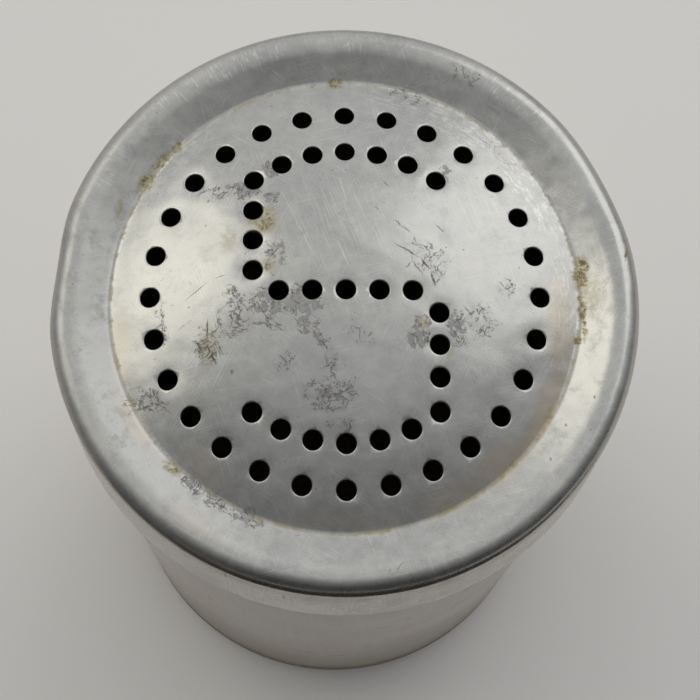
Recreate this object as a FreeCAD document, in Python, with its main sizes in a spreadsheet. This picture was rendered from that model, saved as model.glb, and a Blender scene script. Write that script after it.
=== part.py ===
import FreeCAD, Part
import math
import os

import Sketcher

# A drawn aluminium shaker for salt or spice: a deep can with a perforated slip-over lid.
# Millimetres. +Z is up, the origin is the centre of the can's foot on the table, and the
# letter of holes in the lid reads upright when it is looked down on with +Y away from the eye.

OUT = "parts"
os.makedirs(OUT, exist_ok=True)

doc = FreeCAD.newDocument("shaker")

# Driving sizes, one row each: name, value, what it is
SIZES = [
    ("can_radius", 34.2, "outside radius of the straight can wall"),
    ("can_height", 108.9, "foot to mouth"),
    ("can_wall", 0.8, "sheet of the can"),
    ("mouth_round", 0.35, "rounding of the can's trimmed mouth"),
    ("base_corner_radius", 3.0, "outside bend from wall to floor"),
    ("foot_width", 3.0, "flat ring that the can stands on"),
    ("recess_depth", 0.7, "how far the middle of the floor is pressed up"),
    ("recess_slope_run", 1.6, "width of the slope between foot and recess"),
    ("recess_bend_radius", 1.4, "bends at both ends of that slope"),
    ("lid_wall", 0.8, "sheet of the lid"),
    ("lid_clearance", 0.05, "radial fit of the lid over the can's mouth"),
    ("shoulder_radius", 2.0, "outside bend from the lid's top to its skirt"),
    ("skirt_depth", 15.75, "lid crest to the skirt's lower edge"),
    ("skirt_flare", 0.5, "gain in radius down the skirt"),
    ("skirt_edge_round", 0.3, "rounding of the skirt's trimmed edge"),
    ("flange_width", 7.15, "widest part of the shoulder in to the valley"),
    ("valley_depth", 1.55, "lid crest down to the valley"),
    ("valley_bend_radius", 1.2, "outside bend in the valley"),
    ("dome_rise", 4.95, "valley up to the top of the dome"),
    ("plain_band_width", 4.9, "valley in to the ring of holes"),
    ("hole_radius", 1.15, "every punched hole"),
    ("hole_lip_radius", 0.3, "rolled-in edge round each hole"),
    ("lip_web_share", 0.45, "most that a lip may take of the web between two holes, as a share"),
    ("ring_hole_count", 28, "holes in the outer ring"),
    ("column_step_share", 0.165, "step of the letter's upright holes, as a share of the ring's radius"),
    ("seat_gap_share", 0.4, "gap between the mouth and the shoulder's inside, as a share of the fit"),
]

# Sizes worked out from the driving ones, in the order that they depend on each other.
# The letter's upright holes stand closest, so the web between them limits every lip.
# The last three seat the lid: the rounded mouth climbs into the bend of the shoulder,
# seat_run out from that bend's centre, until seat_reach leaves the gap.
WORKED_OUT = [
    ("lid_radius", "=can_radius + lid_clearance + lid_wall"),
    ("shoulder_centre_r", "=lid_radius - shoulder_radius"),
    ("valley_radius", "=lid_radius - flange_width"),
    ("hole_ring_radius", "=valley_radius - plain_band_width"),
    ("foot_outer_radius", "=can_radius - base_corner_radius"),
    ("foot_inner_radius", "=foot_outer_radius - foot_width"),
    ("recess_radius", "=foot_inner_radius - recess_slope_run"),
    ("valley_z", "=shoulder_radius - valley_depth"),
    ("skirt_edge_z", "=shoulder_radius - skirt_depth"),
    ("skirt_edge_radius", "=lid_radius + skirt_flare"),
    ("hole_web", "=hole_ring_radius * column_step_share - 2 * hole_radius"),
    ("lip_radius", "=min(hole_lip_radius; lip_web_share * hole_web)"),
    ("seat_reach", "=shoulder_radius - lid_wall - mouth_round - seat_gap_share * lid_clearance"),
    ("seat_run", "=shoulder_radius - lid_wall - mouth_round - lid_clearance"),
    ("lid_seat_z", "=can_height - mouth_round - sqrt(seat_reach * seat_reach - seat_run * seat_run)"),
]

# The letter of holes, as shares of the hole ring's radius and in degrees
BOW_RADIUS_SHARE = 0.775
BOW_STEP_DEG = 12.5
BOW_HOLES = 7
COLUMN_OFFSET_SHARE = 0.473
COLUMN_FIRST_SHARE = 0.112
COLUMN_HOLES = 3
BAR_STEP_SHARE = 0.17
BAR_HOLES = 5

TURN_DEG = 360.0

# Two places this close, as a share of the can's wall, are the same place
CLOSE_SHARE = 0.001

# The points of a sketched line or arc, in the order that constraints number them
POINTS = ("whole", "start", "end", "centre")
START, END, CENTRE = (POINTS.index(word) for word in ("start", "end", "centre"))

# The axes of a sketch, which constraints number downwards from -1, and its origin
AXES = ("horizontal", "vertical")
H_AXIS, V_AXIS = (-1 - AXES.index(word) for word in AXES)
ORIGIN = (H_AXIS, START)


def make_sheet():
    """The spreadsheet of sizes, one named cell each."""
    table = doc.addObject("Spreadsheet::Sheet", "sizes")
    row = 1
    for name, value, note in SIZES:
        table.set("A%d" % row, name)
        table.set("B%d" % row, str(value))
        table.set("C%d" % row, note)
        table.setAlias("B%d" % row, name)
        row += 1
    doc.recompute()
    for name, formula in WORKED_OUT:
        table.set("A%d" % row, name)
        table.set("B%d" % row, formula)
        table.setAlias("B%d" % row, name)
        doc.recompute()
        row += 1
    return table


sheet = make_sheet()


def size(name):
    return float(sheet.get(name))


def origin_feature(body, role):
    for feature in body.Origin.OriginFeatures:
        if feature.Role == role:
            return feature
    raise ValueError(role)


def new_sketch(body, name, plane):
    sketch = body.newObject("Sketcher::SketchObject", name)
    sketch.AttachmentSupport = [(origin_feature(body, plane), "")]
    sketch.MapMode = "FlatFace"
    return sketch


def dimension(sketch, name, expression, *constraint):
    """A named length in a sketch, bound to the sheet."""
    index = sketch.addConstraint(Sketcher.Constraint(*constraint))
    sketch.renameConstraint(index, name)
    sketch.setExpression("Constraints." + name, expression)
    return index


def vec(x, y):
    return FreeCAD.Vector(x, y, 0)


def line(sketch, start, end):
    return sketch.addGeometry(Part.LineSegment(vec(*start), vec(*end)), False)


def arc(sketch, centre, radius, from_deg, to_deg):
    circle = Part.Circle(vec(*centre), FreeCAD.Vector(0, 0, 1), radius)
    piece = Part.ArcOfCircle(circle, math.radians(from_deg), math.radians(to_deg))
    return sketch.addGeometry(piece, False)


def on_circle(centre, radius, angle_deg):
    angle = math.radians(angle_deg)
    return centre[0] + radius * math.cos(angle), centre[1] + radius * math.sin(angle)


def join(sketch, kind, first, first_end, second, second_end):
    ends = (first, POINTS.index(first_end), second, POINTS.index(second_end))
    sketch.addConstraint(Sketcher.Constraint(kind, *ends))


def revolve(body, sketch, name):
    """A full turn of a profile about the axis of the shaker."""
    feature = body.newObject("PartDesign::Revolution", name)
    feature.Profile = sketch
    feature.ReferenceAxis = (sketch, ["V_Axis"])
    feature.Angle = TURN_DEG
    doc.recompute()
    return feature


def round_edges(body, base, name, radius_name, edge_names):
    feature = body.newObject("PartDesign::Fillet", name)
    feature.Base = (base, edge_names)
    feature.setExpression("Radius", "sizes.%s" % radius_name)
    doc.recompute()
    return feature


def hollow(body, base, name, open_face, wall_name):
    """The sheet that is left when a solid form is emptied through one face."""
    feature = body.newObject("PartDesign::Thickness", name)
    feature.Base = (base, [open_face])
    feature.Mode = "Skin"
    feature.Join = "Arc"
    feature.Reversed = True
    feature.setExpression("Value", "sizes.%s" % wall_name)
    doc.recompute()
    return feature


def circles_at(shape, radius, z):
    """Names of the round edges about the shaker's axis with this radius and height."""
    close = CLOSE_SHARE * size("can_wall")
    found = []
    for number, edge in enumerate(shape.Edges, 1):
        if edge.Degenerated or edge.Curve.TypeId != "Part::GeomCircle":
            continue
        if abs(edge.Curve.Radius - radius) < close and abs(edge.Curve.Center.z - z) < close:
            found.append("Edge%d" % number)
    if not found:
        raise ValueError("no round edge at radius %.3f, height %.3f" % (radius, z))
    return found


def flat_face(shape, z):
    """Name of the flat face at this height."""
    close = CLOSE_SHARE * size("can_wall")
    for number, face in enumerate(shape.Faces, 1):
        if face.Surface.TypeId == "Part::GeomPlane" and abs(face.CenterOfGravity.z - z) < close:
            return "Face%d" % number
    raise ValueError("no flat face at height %.3f" % z)


def make_can():
    """The deep-drawn can: one sheet, open at the top, with its floor pressed up inside the foot."""
    body = doc.addObject("PartDesign::Body", "shaker_can")
    body.Label = "shaker_can"
    sketch = new_sketch(body, "can_outline", "XZ_Plane")

    wall_r, top = size("can_radius"), size("can_height")
    foot_r, heel_r = size("foot_outer_radius"), size("foot_inner_radius")
    recess_r, recess_z = size("recess_radius"), size("recess_depth")
    corner = size("base_corner_radius")

    axis = line(sketch, (0, top), (0, recess_z))
    panel = line(sketch, (0, recess_z), (recess_r, recess_z))
    slope = line(sketch, (recess_r, recess_z), (heel_r, 0))
    foot = line(sketch, (heel_r, 0), (foot_r, 0))
    bend = arc(sketch, (foot_r, corner), corner, -90, 0)
    wall = line(sketch, (wall_r, corner), (wall_r, top))
    lid_plane = line(sketch, (wall_r, top), (0, top))

    loop = [axis, panel, slope, foot]
    for first, second in zip(loop, loop[1:]):
        join(sketch, "Coincident", first, "end", second, "start")
    join(sketch, "Tangent", foot, "end", bend, "start")
    join(sketch, "Tangent", bend, "end", wall, "start")
    join(sketch, "Coincident", wall, "end", lid_plane, "start")
    join(sketch, "Coincident", lid_plane, "end", axis, "start")
    for level in (panel, foot, lid_plane):
        sketch.addConstraint(Sketcher.Constraint("Horizontal", level))
    sketch.addConstraint(Sketcher.Constraint("Vertical", wall))
    sketch.addConstraint(Sketcher.Constraint("PointOnObject", axis, START, V_AXIS))
    sketch.addConstraint(Sketcher.Constraint("PointOnObject", axis, END, V_AXIS))
    sketch.addConstraint(Sketcher.Constraint("PointOnObject", foot, START, H_AXIS))

    dimension(sketch, "height", "sizes.can_height", "DistanceY", *ORIGIN, wall, END, top)
    dimension(sketch, "radius", "sizes.can_radius", "DistanceX", *ORIGIN, wall, END, wall_r)
    dimension(sketch, "corner", "sizes.base_corner_radius", "Radius", bend, corner)
    dimension(sketch, "heel", "sizes.foot_inner_radius", "DistanceX", *ORIGIN, foot, START, heel_r)
    dimension(sketch, "recess_r", "sizes.recess_radius", "DistanceX", *ORIGIN, slope, START, recess_r)
    dimension(sketch, "recess_z", "sizes.recess_depth", "DistanceY", *ORIGIN, slope, START, recess_z)
    doc.recompute()

    form = revolve(body, sketch, "can_form")
    bends = circles_at(form.Shape, recess_r, recess_z) + circles_at(form.Shape, heel_r, 0)
    pressed = round_edges(body, form, "recess_bends", "recess_bend_radius", bends)
    sheet_metal = hollow(body, pressed, "can_sheet", flat_face(pressed.Shape, top), "can_wall")
    mouth = circles_at(sheet_metal.Shape, wall_r, top)
    mouth += circles_at(sheet_metal.Shape, wall_r - size("can_wall"), top)
    round_edges(body, sheet_metal, "mouth_edge", "mouth_round", mouth)
    return body


class Sheetline:
    """One side of the lid's sheet in half section: dome, valley, flange, shoulder, skirt.

    Heights are counted from the centre of the shoulder's bend. The inner side lies
    inside the outer one by the wall, with its bends on the same centres.
    """

    def __init__(self, sketch, inward):
        shoulder = size("shoulder_radius") - inward
        bend_r = size("valley_bend_radius") + inward
        centre_r, valley_r = size("shoulder_centre_r"), size("valley_radius")
        valley_centre = size("valley_z") + size("valley_bend_radius")
        rise, edge_z = size("dome_rise"), size("skirt_edge_z")
        self.top = size("valley_z") + rise - inward

        # The ball of the dome touches the valley's bend
        full_bend = size("valley_bend_radius")
        self.dome_radius = (valley_r ** 2 + rise ** 2) / (2 * rise) - full_bend - inward
        dome_centre = self.top - self.dome_radius
        meet_deg = math.degrees(math.atan2(valley_centre - dome_centre, valley_r))

        # The flange is the straight slope from the valley's bend up to the shoulder's
        reach = math.hypot(centre_r - valley_r, valley_centre)
        fall = math.atan2(valley_centre, centre_r - valley_r)
        slope_deg = math.degrees(math.asin((bend_r + shoulder) / reach) - fall)
        flange_start = on_circle((valley_r, valley_centre), bend_r, slope_deg - 90)
        flange_end = on_circle((centre_r, 0), shoulder, slope_deg + 90)

        # The skirt is the straight line from the shoulder's bend to the trimmed edge
        outer_run = size("skirt_edge_radius") - centre_r
        drop = math.hypot(outer_run, edge_z)
        outer_touch = math.acos(size("shoulder_radius") / drop)
        lean_deg = math.degrees(outer_touch + math.atan2(edge_z, outer_run))
        skirt_top = on_circle((centre_r, 0), shoulder, lean_deg)
        lean = math.tan(math.radians(lean_deg))
        self.edge = (skirt_top[0] + (skirt_top[1] - edge_z) * lean, edge_z)

        self.dome = arc(sketch, (0, dome_centre), self.dome_radius, meet_deg, 90)
        self.valley = arc(sketch, (valley_r, valley_centre), bend_r, meet_deg - 180, slope_deg - 90)
        self.flange = line(sketch, flange_start, flange_end)
        self.bend = arc(sketch, (centre_r, 0), shoulder, lean_deg, slope_deg + 90)
        self.skirt = line(sketch, skirt_top, self.edge)
        join(sketch, "Tangent", self.dome, "start", self.valley, "start")
        join(sketch, "Tangent", self.valley, "end", self.flange, "start")
        join(sketch, "Tangent", self.flange, "end", self.bend, "end")
        join(sketch, "Tangent", self.bend, "start", self.skirt, "start")


def lid_outline(body):
    """Half section of the lid's sheet."""
    sketch = new_sketch(body, "lid_outline", "XZ_Plane")
    outer = Sheetline(sketch, 0)
    inner = Sheetline(sketch, size("lid_wall"))
    axis = line(sketch, (0, inner.top), (0, outer.top))
    edge = line(sketch, outer.edge, inner.edge)
    join(sketch, "Coincident", outer.skirt, "end", edge, "start")
    join(sketch, "Coincident", edge, "end", inner.skirt, "end")
    join(sketch, "Coincident", inner.dome, "end", axis, "start")
    join(sketch, "Coincident", axis, "end", outer.dome, "end")
    sketch.addConstraint(Sketcher.Constraint("Horizontal", edge))
    sketch.addConstraint(Sketcher.Constraint("Parallel", outer.skirt, inner.skirt))
    for piece, place in ((outer.dome, CENTRE), (axis, START), (axis, END)):
        sketch.addConstraint(Sketcher.Constraint("PointOnObject", piece, place, V_AXIS))
    sketch.addConstraint(Sketcher.Constraint("PointOnObject", outer.bend, CENTRE, H_AXIS))
    for inside, outside in ((inner.dome, outer.dome), (inner.valley, outer.valley),
                            (inner.bend, outer.bend)):
        join(sketch, "Coincident", inside, "centre", outside, "centre")

    shoulder, wall = size("shoulder_radius"), size("lid_wall")
    valley_centre = size("valley_z") + size("valley_bend_radius")
    dimension(sketch, "shoulder", "sizes.shoulder_radius", "Radius", outer.bend, shoulder)
    dimension(sketch, "inner_shoulder", "sizes.shoulder_radius - sizes.lid_wall",
              "Radius", inner.bend, shoulder - wall)
    dimension(sketch, "centre_r", "sizes.shoulder_centre_r",
              "DistanceX", *ORIGIN, outer.bend, CENTRE, size("shoulder_centre_r"))
    dimension(sketch, "bend_r", "sizes.valley_bend_radius",
              "Radius", outer.valley, size("valley_bend_radius"))
    dimension(sketch, "valley_r", "sizes.valley_radius",
              "DistanceX", *ORIGIN, outer.valley, CENTRE, size("valley_radius"))
    dimension(sketch, "valley_z", "sizes.valley_z + sizes.valley_bend_radius",
              "DistanceY", *ORIGIN, outer.valley, CENTRE, valley_centre)
    dimension(sketch, "top", "sizes.valley_z + sizes.dome_rise",
              "DistanceY", *ORIGIN, axis, END, outer.top)
    dimension(sketch, "wall", "sizes.lid_wall", "DistanceY", axis, START, axis, END, wall)
    dimension(sketch, "edge_r", "sizes.skirt_edge_radius",
              "DistanceX", *ORIGIN, outer.skirt, END, outer.edge[0])
    dimension(sketch, "edge_z", "-sizes.skirt_edge_z",
              "DistanceY", outer.skirt, END, *ORIGIN, -outer.edge[1])
    doc.recompute()
    return sketch, outer.dome_radius


def letter_places():
    """Places of the holes in the letter, as shares of the hole ring's radius.

    The upper half is listed, and a half turn about the centre gives the lower one.
    """
    upper = []
    column_step = size("column_step_share")
    for number in range(BOW_HOLES):
        angle = math.radians(90 + BOW_STEP_DEG * (number - (BOW_HOLES - 1) / 2))
        upper.append((BOW_RADIUS_SHARE * math.cos(angle), BOW_RADIUS_SHARE * math.sin(angle)))
    for number in range(COLUMN_HOLES):
        upper.append((-COLUMN_OFFSET_SHARE, COLUMN_FIRST_SHARE + column_step * number))
    for number in range(BAR_HOLES // 2):
        upper.append((-BAR_STEP_SHARE * (number + 1), 0))
    return upper + [(-x, -y) for x, y in upper] + [(0, 0)]


def punch(body, sketch, name):
    """Holes cut upwards through the dome by the circles of a sketch."""
    feature = body.newObject("PartDesign::Pocket", name)
    feature.Profile = sketch
    feature.Type = "ThroughAll"
    feature.Reversed = True
    doc.recompute()
    return feature


def hole_circle(sketch, name, place):
    """A hole at a place given in shares of the hole ring's radius."""
    ring = size("hole_ring_radius")
    spot = (ring * place[0], ring * place[1])
    circle = Part.Circle(vec(*spot), FreeCAD.Vector(0, 0, 1), size("hole_radius"))
    hole = sketch.addGeometry(circle, False)
    for axis, share, value in (("x", place[0], spot[0]), ("y", place[1], spot[1])):
        kind = "DistanceX" if axis == "x" else "DistanceY"
        if abs(share) < CLOSE_SHARE:
            line_axis = V_AXIS if axis == "x" else H_AXIS
            sketch.addConstraint(Sketcher.Constraint("PointOnObject", hole, CENTRE, line_axis))
            continue
        expression = "sizes.hole_ring_radius * %.4f" % abs(share)
        ends = ORIGIN + (hole, CENTRE) if share > 0 else (hole, CENTRE) + ORIGIN
        dimension(sketch, "%s_%s" % (name, axis), expression, kind, *ends, abs(value))
    return hole


def letter_sketch(body):
    sketch = new_sketch(body, "letter_holes", "XY_Plane")
    holes = []
    for number, place in enumerate(letter_places(), 1):
        holes.append(hole_circle(sketch, "place_%d" % number, place))
    dimension(sketch, "radius", "sizes.hole_radius", "Radius", holes[0], size("hole_radius"))
    for hole in holes[1:]:
        sketch.addConstraint(Sketcher.Constraint("Equal", holes[0], hole))
    doc.recompute()
    return sketch


def hole_edges(shape, dome_radius):
    """Names of the edges where the holes break the outside of the dome."""
    balls = [face for face in shape.Faces if face.Surface.TypeId == "Part::GeomSphere"]
    dome = min(balls, key=lambda face: abs(face.Surface.Radius - dome_radius))
    rims = [wire for wire in dome.Wires if not wire.isSame(dome.OuterWire)]
    sharp = [edge for wire in rims for edge in wire.Edges]
    found = []
    for number, edge in enumerate(shape.Edges, 1):
        if any(edge.isSame(other) for other in sharp):
            found.append("Edge%d" % number)
    return found


def make_lid():
    """The slip-over lid: one pressing with a perforated dome, a valley and a plain skirt."""
    body = doc.addObject("PartDesign::Body", "perforated_lid")
    body.Label = "perforated_lid"
    sketch, dome_radius = lid_outline(body)
    revolve(body, sketch, "lid_sheet")

    ring_sketch = new_sketch(body, "ring_hole", "XY_Plane")
    hole = hole_circle(ring_sketch, "first", (0, 1))
    dimension(ring_sketch, "radius", "sizes.hole_radius", "Radius", hole, size("hole_radius"))
    doc.recompute()
    first = punch(body, ring_sketch, "first_ring_hole")
    ring = body.newObject("PartDesign::PolarPattern", "hole_ring")
    ring.Originals = [first]
    ring.Axis = (ring_sketch, ["N_Axis"])
    ring.Angle = TURN_DEG
    ring.setExpression("Occurrences", "sizes.ring_hole_count")
    body.Tip = ring
    doc.recompute()
    pierced = punch(body, letter_sketch(body), "letter_punching")

    lips = hole_edges(pierced.Shape, dome_radius)
    rolled = round_edges(body, pierced, "rolled_lips", "lip_radius", lips)

    trimmed = []
    for number, edge in enumerate(rolled.Shape.Edges, 1):
        if edge.Degenerated or edge.Curve.TypeId != "Part::GeomCircle":
            continue
        if edge.Curve.Center.z < size("skirt_edge_z") + size("lid_wall") / 2:
            trimmed.append("Edge%d" % number)
    round_edges(body, rolled, "skirt_edge", "skirt_edge_round", trimmed)
    return body


can = make_can()
lid = make_lid()
lid.setExpression("Placement.Base.z", "sizes.lid_seat_z")
doc.recompute()

for item in doc.Objects:
    if "Invalid" in item.State or "Error" in item.State:
        raise RuntimeError("%s did not build: %s" % (item.Name, item.State))
for body in (can, lid):
    if body.Shape.isNull() or not body.Shape.isValid() or len(body.Shape.Solids) != 1:
        raise RuntimeError("%s is not one sound solid" % body.Label)
for body in (can, lid):
    body.Shape.exportStep(os.path.join(OUT, body.Label + ".step"))
    print("%s: %d faces, volume %.1f" % (body.Label, len(body.Shape.Faces), body.Shape.Volume))
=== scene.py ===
import math

import bpy
from bpy.props import FloatProperty, FloatVectorProperty, IntProperty, PointerProperty
from mathutils import Matrix, Quaternion, Vector
from mathutils.kdtree import KDTree


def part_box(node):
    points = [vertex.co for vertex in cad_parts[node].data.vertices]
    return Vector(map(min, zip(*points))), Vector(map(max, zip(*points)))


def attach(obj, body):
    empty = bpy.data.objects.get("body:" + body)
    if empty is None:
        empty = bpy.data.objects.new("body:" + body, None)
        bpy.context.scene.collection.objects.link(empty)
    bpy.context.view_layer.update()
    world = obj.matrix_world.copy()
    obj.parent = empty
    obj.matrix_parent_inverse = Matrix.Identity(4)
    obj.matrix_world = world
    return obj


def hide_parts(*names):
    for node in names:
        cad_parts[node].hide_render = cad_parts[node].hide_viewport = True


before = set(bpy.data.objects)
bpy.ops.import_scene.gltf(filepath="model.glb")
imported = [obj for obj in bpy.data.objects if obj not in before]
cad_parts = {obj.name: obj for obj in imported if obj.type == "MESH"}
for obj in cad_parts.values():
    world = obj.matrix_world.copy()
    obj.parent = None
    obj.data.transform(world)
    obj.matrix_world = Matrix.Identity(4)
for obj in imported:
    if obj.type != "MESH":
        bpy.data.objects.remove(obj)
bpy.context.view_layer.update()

# A worn aluminium shaker for salt or spice: a drawn can and its perforated slip-over lid.
# Metres. +Z is up, and the letter of holes in the lid reads upright with +Y as its top.

bl_info = {
    "name": "Perforated Shaker",
    "version": (1, 0, 0),
    "blender": (4, 5, 0),
    "location": "View3D > Sidebar > Shaker",
    "description": "Models a worn aluminium shaker with a perforated slip-over lid",
    "category": "Add Mesh",
}

MM = 0.001
TURN = 2 * math.pi
QUARTER = math.pi / 2

can_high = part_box("shaker_can")[1]
lid_low, lid_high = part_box("perforated_lid")

# How finely the meshes are divided
CAN_SIDES = 224
LID_SIDES_PER_HOLE = 8
HOLE_SIDES = 32
MERGE_DISTANCE = 0.002 * MM
TRIM_SEGMENTS = 3
TRIM_ANGLE = math.radians(60)

# The letter of holes, as shares of the hole ring's radius and in degrees
BOW_RADIUS_SHARE = 0.775
BOW_STEP_DEG = 12.5
BOW_HOLES = 7
COLUMN_OFFSET_SHARE = 0.473
COLUMN_FIRST_SHARE = 0.112
COLUMN_STEP_SHARE = 0.165
COLUMN_HOLES = 3
BAR_STEP_SHARE = 0.17
BAR_HOLES = 5


def length(name, default, note):
    """A length in metres that the sidebar shows."""
    return FloatProperty(name=name, description=note, default=default, min=0, unit="LENGTH", precision=5)


def tint(name, default, note):
    """A colour that the sidebar shows."""
    return FloatVectorProperty(name=name, description=note, default=default, size=3, min=0, max=1,
                               subtype="COLOR")


class ShakerCanSizes(bpy.types.PropertyGroup):
    """Sizes of the drawn can."""

    radius: length("Radius", can_high.x, "Outside radius of the straight wall")
    height: length("Height", can_high.z, "Foot to mouth")
    wall: length("Sheet", 0.8 * MM, "Thickness of the sheet")
    mouth_round: length("Mouth round", 0.35 * MM, "Rounding of the trimmed mouth")
    corner: length("Base corner", 3.0 * MM, "Outside bend from wall to floor")
    foot_width: length("Foot width", 3.0 * MM, "Flat ring that the can stands on")
    recess_depth: length("Recess depth", 0.7 * MM, "How far the floor is pressed up")
    recess_run: length("Recess slope", 1.6 * MM, "Width of the slope between foot and recess")
    recess_bend: length("Recess bend", 1.4 * MM, "Bends at both ends of that slope")


class ShakerLidSizes(bpy.types.PropertyGroup):
    """Sizes of the perforated slip-over lid."""

    clearance: length("Fit", 0.05 * MM, "Radial fit over the can's mouth")
    wall: length("Sheet", 0.8 * MM, "Thickness of the sheet")
    shoulder: length("Shoulder bend", 2.0 * MM, "Outside bend from the crest to the skirt")
    crest_bend: length("Crest bend", 5.0 * MM, "Outside bend from the flange to the crest")
    skirt_depth: length("Skirt depth", 15.75 * MM, "Crest to the skirt's lower edge")
    skirt_edge_radius: length("Skirt edge radius", lid_high.x, "Outside radius of the skirt's lower edge")
    skirt_edge_z: length("Skirt edge height", lid_low.z, "Height of the skirt's lower edge")
    edge_round: length("Edge round", 0.3 * MM, "Rounding of the skirt's trimmed edge")
    flange_width: length("Flange width", 7.15 * MM, "Widest part of the shoulder in to the valley")
    valley_depth: length("Valley depth", 1.55 * MM, "Crest down to the valley")
    valley_bend: length("Valley bend", 1.2 * MM, "Outside bend in the valley")
    dome_rise: length("Dome rise", 4.95 * MM, "Valley up to the top of the dome")
    band_width: length("Plain band", 4.9 * MM, "Valley in to the ring of holes")
    hole_radius: length("Hole radius", 1.15 * MM, "Every punched hole")
    lip_radius: length("Hole lip", 0.2 * MM, "Rolled-in edge round each hole")
    dimple_depth: length("Dimple depth", 0.10 * MM, "How far the punch pulled the sheet down at a hole")
    dimple_radius: length("Dimple radius", 2.3 * MM, "Reach of that pull")
    ring_holes: IntProperty(name="Ring holes", description="Holes in the outer ring", default=28, min=3)


class ShakerFinish(bpy.types.PropertyGroup):
    """Colours of the worn metal and of what lies on it, and of the painted shade round the can's foot."""

    lid_metal: tint("Lid metal", (0.49, 0.49, 0.475), "Clean metal of the lid")
    lid_dull: tint("Lid dull", (0.44, 0.44, 0.428), "Duller metal of the lid")
    skirt_metal: tint("Skirt metal", (0.61, 0.585, 0.54), "Warmer, less worn metal of the lid's skirt")
    can_metal: tint("Can metal", (0.55, 0.525, 0.49), "Clean metal of the can")
    can_dull: tint("Can dull", (0.49, 0.47, 0.435), "Duller metal of the can")
    scratch: tint("Scratch", (0.72, 0.72, 0.70), "Bare metal in a scratch")
    stain: tint("Stain", (0.26, 0.258, 0.262), "Grey etched stain")
    # Also colours the band at the skirt's lower edge, where it is partly painted shade
    pit_dirt_and_shade: tint("Pit", (0.07, 0.062, 0.05), "Dirt in pits and deep scratches")
    grime: tint("Grime", (0.33, 0.27, 0.09), "Old yellow grime")
    caked_grime: tint("Caked grime", (0.13, 0.105, 0.035), "Thicker, darker grime")
    tarnish: tint("Tarnish", (0.52, 0.44, 0.33), "Warm tarnish")
    # Painted shade: the colour that darkens the can towards its foot, in place of the contact shadow that
    # its wall reflects
    foot_painted_shade: tint("Foot painted shade", (0.12, 0.085, 0.045), "Painted shade round the can's foot")
    inside: tint("Inside", (0.13, 0.125, 0.115), "Oxidised inside")


class ShakerStageSettings(bpy.types.PropertyGroup):
    """Camera and studio."""

    eye: FloatVectorProperty(name="Eye", description="Place of the camera", subtype="TRANSLATION",
                             unit="LENGTH", default=(-4.1 * MM, -60.2 * MM, 310.5 * MM))
    turn: FloatVectorProperty(
        name="Turn", description="Rotation of the camera", subtype="EULER", unit="ROTATION",
        default=(math.radians(15.05), math.radians(-1.22), math.radians(-0.36)))
    lens: FloatProperty(name="Lens", description="Focal length in millimetres", default=91.2, min=1,
                        unit="CAMERA")
    floor_colour: tint("Floor", (0.90, 0.885, 0.87), "Pale matt table")
    card_near: length("Card near", 85 * MM, "Nearer edge of the black card on the viewer's side")
    card_far: length("Card far", 900 * MM, "Farther edge of that card")


def arc(centre, radius, start, end, steps):
    """Points on a round stretch of an outline, the start left out."""
    points = []
    for step in range(1, steps + 1):
        angle = start + (end - start) * step / steps
        points.append((centre[0] + radius * math.cos(angle), centre[1] + radius * math.sin(angle)))
    return points


def straight(start, end, steps):
    """Points on a straight stretch of an outline, the start left out."""
    return [(start[0] + (end[0] - start[0]) * step / steps, start[1] + (end[1] - start[1]) * step / steps)
            for step in range(1, steps + 1)]


class Dome:
    """Where the lid's bends lie and meet, worked out from its sizes."""

    def __init__(self, lid, can):
        self.radius = can.radius + lid.clearance + lid.wall
        self.shoulder = (self.radius - lid.shoulder, lid.skirt_edge_z + lid.skirt_depth - lid.shoulder)
        self.crest_z = self.shoulder[1] + lid.shoulder
        self.valley_r = self.radius - lid.flange_width
        self.hole_ring = self.valley_r - lid.band_width
        self.valley = (self.valley_r, self.crest_z - lid.valley_depth + lid.valley_bend)
        rise = lid.dome_rise
        self.ball = (self.valley_r ** 2 + rise ** 2) / (2 * rise) - lid.valley_bend
        self.top = self.crest_z - lid.valley_depth + rise
        self.centre = (0, self.top - self.ball)
        self.meet = math.atan2(self.valley[1] - self.centre[1], self.valley_r)
        self.crest = (self.shoulder[0], self.crest_z - lid.crest_bend)
        run, fall = self.crest[0] - self.valley_r, self.valley[1] - self.crest[1]
        bends = lid.valley_bend + lid.crest_bend
        self.slope = math.asin(bends / math.hypot(run, fall)) - math.atan2(fall, run)
        edge_run = lid.skirt_edge_radius - self.shoulder[0]
        edge_drop = lid.skirt_edge_z - self.shoulder[1]
        touch = math.acos(lid.shoulder / math.hypot(edge_run, edge_drop))
        self.lean = touch + math.atan2(edge_drop, edge_run)

    def height(self, x, y):
        """Height of the dome's outside at a place."""
        return self.centre[1] + math.sqrt(self.ball ** 2 - x * x - y * y)

    def outline(self, lid):
        """Half section of the lid's outside, from the top of the dome to the skirt's edge."""
        points = [(0, self.top)]
        points += arc(self.centre, self.ball, QUARTER, self.meet, 52)
        points += arc(self.valley, lid.valley_bend, self.meet + math.pi, self.slope + 3 * QUARTER, 10)
        flange_end = arc(self.crest, lid.crest_bend, 0, self.slope + QUARTER, 1)[0]
        points += straight(points[-1], flange_end, 6)
        points += arc(self.crest, lid.crest_bend, self.slope + QUARTER, QUARTER, 8)
        points += arc(self.shoulder, lid.shoulder, QUARTER, self.lean, 22)
        points += straight(points[-1], (lid.skirt_edge_radius, lid.skirt_edge_z), 16)
        return points


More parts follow.
